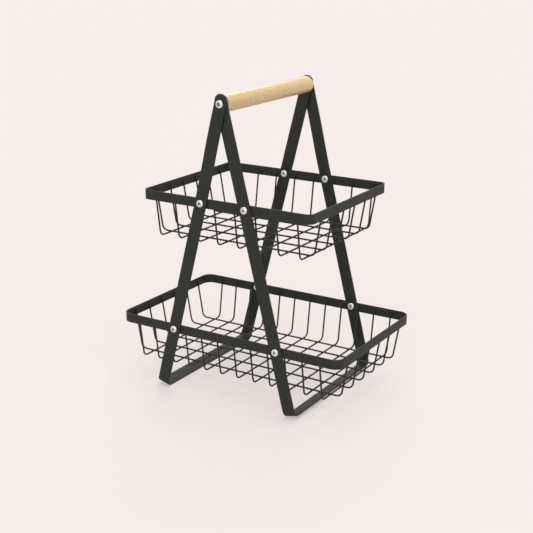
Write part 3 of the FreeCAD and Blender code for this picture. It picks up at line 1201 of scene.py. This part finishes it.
@dataclass
class Grip:
    """The turned dowel, bored for an insert at each end."""

    finishes: Finishes
    bore_diameter: float = 0.0101
    bore_depth: float = 0.015
    edge_round: float = 0.001
    edge_segments: int = 5
    points: int = 96

    def build(self) -> None:
        """Models the dowel with its rounded ends and its bores, and dresses the inserts in them."""
        low, high = corners("wooden_grip")
        size = high - low
        dowel = add_cylinder("turned_dowel", self.points, size.x / 2, size.y, (low + high) / 2, ALONG_Y)
        with modelling(dowel):
            for end, side in ((low.y, 1.0), (high.y, -1.0)):
                round_edges(dowel, lambda a, b, y=end: max(abs(a.y - y), abs(b.y - y)) < NEAR,
                            self.edge_round, self.edge_segments)
                pick(dowel, Picked.FACES, lambda face, y=end: abs(face.normal.y) > SQUARE_ON
                     and abs(face.calc_center_median().y - y) < NEAR)
                bpy.ops.mesh.inset(thickness=(size.x - self.bore_diameter) / 2 - self.edge_round)
                extrude(deep=side * self.bore_depth)
        close_up(dowel)
        finish_piece(dowel, self.finishes.beech, Body.GRIP, ["wooden_grip"])
        inserts = bpy.data.objects["grip_inserts"]
        inserts.data.materials.clear()
        inserts.data.materials.append(self.finishes.brass)
        LOG.info("%s: in brass", inserts.name)


@dataclass(frozen=True)
class Lamp:
    """One broad lamp: where its light comes from, how strong it is, and how wide, seen from the stand."""

    name: str
    origin: Place
    strength: float
    spread: float

    def hang(self) -> None:
        """Adds the lamp to the scene."""
        data = bpy.data.lights.new(self.name, "SUN")
        data.energy = self.strength
        data.angle = self.spread
        lamp = bpy.data.objects.new(self.name, data)
        lamp.rotation_euler = Vector(self.origin).to_track_quat("Z", "Y").to_euler()
        bpy.context.scene.collection.objects.link(lamp)


@dataclass(frozen=True)
class Studio:
    """The pale floor, the soft light and the camera."""

    azimuth: float = math.radians(31.71)
    elevation: float = math.radians(17.429)
    roll: float = math.radians(0.176)
    distance: float = 1.57682
    target: Place = (0.015163, -0.023636, 0.184544)
    lens: float = 72.774
    sensor: float = 36.0
    floor_size: float = 60.0
    floor_roughness: float = 0.9
    floor_glow: float = 0.45
    pale: Colour = (0.913, 0.847, 0.823)
    bounce: Colour = (0.60, 0.585, 0.575)
    room_colour: Colour = (1.0, 0.985, 0.97)
    room_strength: float = 0.25
    lamps: tuple[Lamp, ...] = (
        Lamp("key", (0.0, 0.1, 1.0), strength=1.2, spread=math.radians(28)),
        Lamp("fill", (0.45, -0.60, 0.50), strength=1.35, spread=math.radians(90)),
        Lamp("back", (-0.35, 0.66, 0.68), strength=0.65, spread=math.radians(40)),
    )

    def seen(self, board: Board) -> Socket:
        """Tells the rays that show a surface, also in metal, from those that only carry light.

        Args:
            board: the nodes of the floor or of the room.

        Returns:
            One for a camera, glossy or transmitted ray, and zero for the rest.
        """
        path = board.add("ShaderNodeLightPath").outputs
        found = path["Is Camera Ray"]
        for kind in ("Is Glossy Ray", "Is Transmission Ray"):
            found = board.reckon("MAXIMUM", found, path[kind])
        return found

    def mix_shaders(self, board: Board, share: Socket, first: Node, second: Node, output: Node) -> None:
        """Shows the first shader where a mask is zero and the second where it is one."""
        mix = board.add("ShaderNodeMixShader", None, share, first.outputs[0], second.outputs[0])
        board.fill(output, Surface=mix.outputs[0])

    def floor(self) -> None:
        """Lays a pale floor that keeps a soft shadow of the stand."""
        clear_selection()
        bpy.ops.mesh.primitive_plane_add(size=self.floor_size)
        floor = settled("studio_floor")
        material, board, shader = new_material("studio_floor")
        seen = self.seen(board)
        board.fill(shader, Base_Color=board.blend(seen, self.bounce, self.pale),
                   Roughness=self.floor_roughness, Specular_IOR_Level=0.0)
        glow = board.add("ShaderNodeEmission", Color=self.pale)
        share = board.reckon("MULTIPLY", seen, self.floor_glow)
        self.mix_shaders(board, share, shader, glow, board.tree.nodes["Material Output"])
        floor.data.materials.append(material)

    def room(self) -> None:
        """Fills the room with even light and shows it as a pale backdrop."""
        world = bpy.data.worlds.new("studio")
        world.use_nodes = True
        board = Board(world.node_tree)
        light = board.tree.nodes["Background"]
        board.fill(light, Color=self.room_colour, Strength=self.room_strength)
        backdrop = board.add("ShaderNodeBackground", Color=self.pale)
        self.mix_shaders(board, self.seen(board), light, backdrop, board.tree.nodes["World Output"])
        bpy.context.scene.world = world

    def camera(self) -> None:
        """Sets the camera at the photograph's angle."""
        sine, cosine, level = math.sin(self.azimuth), math.cos(self.azimuth), math.cos(self.elevation)
        back = Vector((sine * level, -cosine * level, math.sin(self.elevation)))
        right = Vector((cosine, sine, 0.0))
        level_turn = Matrix((right, back.cross(right), back)).transposed().to_4x4()
        turn = level_turn @ turned(self.roll, "Z")
        data = bpy.data.cameras.new("camera")
        data.lens = self.lens
        data.sensor_width = self.sensor
        camera = bpy.data.objects.new("camera", data)
        camera.matrix_world = Matrix.Translation(Vector(self.target) + back * self.distance) @ turn
        bpy.context.scene.collection.objects.link(camera)
        bpy.context.scene.camera = camera

    def build(self) -> None:
        """Sets up the whole studio."""
        self.floor()
        self.room()
        for lamp in self.lamps:
            lamp.hang()
        self.camera()
        bpy.context.scene.view_settings.view_transform = "Standard"


def main() -> None:
    """Builds every piece in order and sets up the studio."""
    logging.basicConfig(level=logging.INFO, format="%(name)s %(message)s")
    for item in list(bpy.data.objects):
        bpy.data.objects.remove(item)
    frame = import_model()
    finishes = Finishes.make()
    layout = Layout.read(frame)
    LegFrame(layout, finishes).build()
    for tier, corner_radius in CORNER_RADII.items():
        Rim(tier, layout, finishes, corner_radius).build()
        BasketWires(tier, finishes).build()
    Fasteners(layout, finishes).build()
    Grip(finishes).build()
    Studio().build()


if __name__ == "__main__":
    main()
